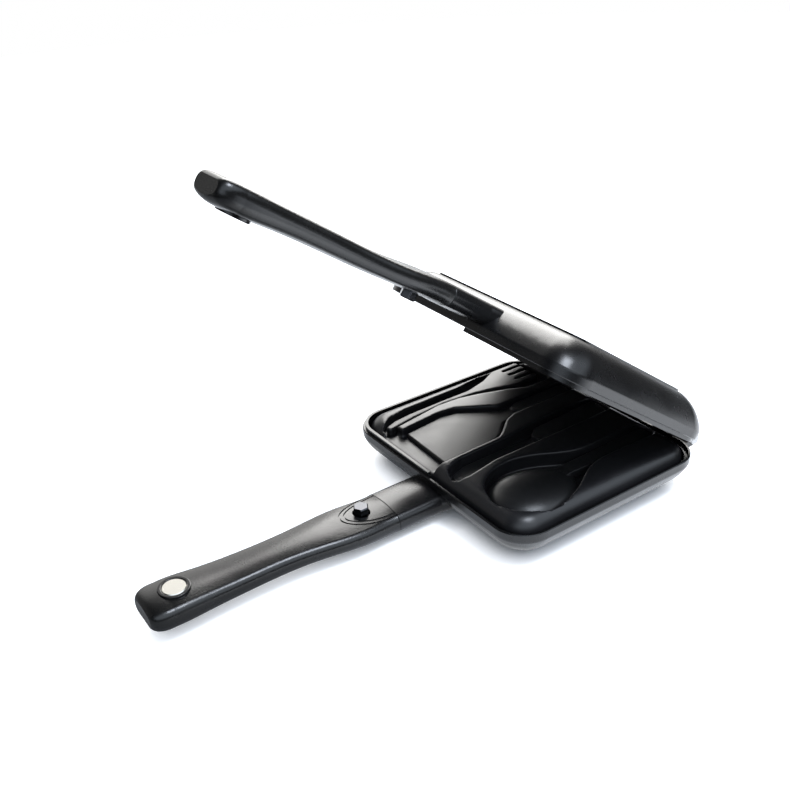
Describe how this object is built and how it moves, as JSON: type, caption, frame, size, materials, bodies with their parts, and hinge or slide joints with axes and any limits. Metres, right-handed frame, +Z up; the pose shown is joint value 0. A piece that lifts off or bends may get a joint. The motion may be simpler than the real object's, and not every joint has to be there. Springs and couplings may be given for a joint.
{
  "type": "pie iron",
  "caption": "Hinged two-half cooking iron with rounded square pans, latched black grips with end magnets, and a lift-out tray of utensils packed inside.",
  "frame": {"origin": "centre of the lower half's raised base panel, on the table", "axes": "+X from the handles to the hinge, +Y to the far-left side in the picture, +Z up"},
  "size_m": [0.2711, 0.134, 0.1828],
  "materials": {
    "coated_casting": "semi-gloss non-stick coating",
    "satin_metal": "semi-gloss",
    "screw_steel": "brushed",
    "grip_black": "satin, fine texture",
    "bright_steel": "polished",
    "spring_steel": "drawn wire",
    "nickel": "plated",
    "nickel_ring": "gloss",
    "tray_black": "semi-gloss",
    "nylon_black": "semi-gloss"
  },
  "bodies": {
    "base": {"lower_pan": "coated_casting", "lower_arm": "satin_metal", "lower_arm_screw_left": "screw_steel", "lower_arm_screw_right": "screw_steel", "lower_grip": "grip_black", "lower_button_spring": "spring_steel", "lower_magnet": "nickel", "lower_magnet_collar": "nickel_ring", "hinge_pin_near": "screw_steel"},
    "lid": {"upper_pan": "coated_casting", "upper_arm": "satin_metal", "upper_arm_screw_left": "screw_steel", "upper_arm_screw_right": "screw_steel", "upper_grip": "grip_black", "upper_button_spring": "spring_steel", "upper_magnet": "nickel", "upper_magnet_collar": "nickel_ring", "hinge_pin_far": "screw_steel"},
    "lower_button": {"lower_release_button": "bright_steel"},
    "upper_button": {"upper_release_button": "bright_steel"},
    "tray": {"utensil_tray": "tray_black"},
    "fork": {"fork": "nylon_black"},
    "spatula": {"spatula": "nylon_black"},
    "knife": {"knife": "nylon_black"},
    "spoon": {"spoon": "nylon_black"}
  },
  "joints": [
    {"name": "lid_hinge", "type": "hinge", "parent": "base", "child": "lid", "pos_m": [0.064, 0, 0.0184], "axis": [0, 1, 0], "range_deg": [-35.7, 144.3]},
    {"name": "lower_button_press", "type": "slide", "parent": "base", "child": "lower_button", "axis": [0, 0, -1], "range_m": [0, 0.002], "stiffness_N_per_m": 1500, "deforming": ["lower_button_spring"]},
    {"name": "upper_button_press", "type": "slide", "parent": "lid", "child": "upper_button", "axis": [0.5835, 0, 0.8121], "range_m": [0, 0.002], "stiffness_N_per_m": 1500, "deforming": ["upper_button_spring"]},
    {"name": "tray_lift", "type": "slide", "parent": "base", "child": "tray", "axis": [0, 0, 1], "range_m": [0, 0.012]},
    {"name": "fork_lift", "type": "slide", "parent": "tray", "child": "fork", "axis": [0, 0, 1], "range_m": [0, 0.012]},
    {"name": "spatula_lift", "type": "slide", "parent": "tray", "child": "spatula", "axis": [0, 0, 1], "range_m": [0, 0.012]},
    {"name": "knife_lift", "type": "slide", "parent": "tray", "child": "knife", "axis": [0, 0, 1], "range_m": [0, 0.012]},
    {"name": "spoon_lift", "type": "slide", "parent": "tray", "child": "spoon", "axis": [0, 0, 1], "range_m": [0, 0.012]}
  ]
}
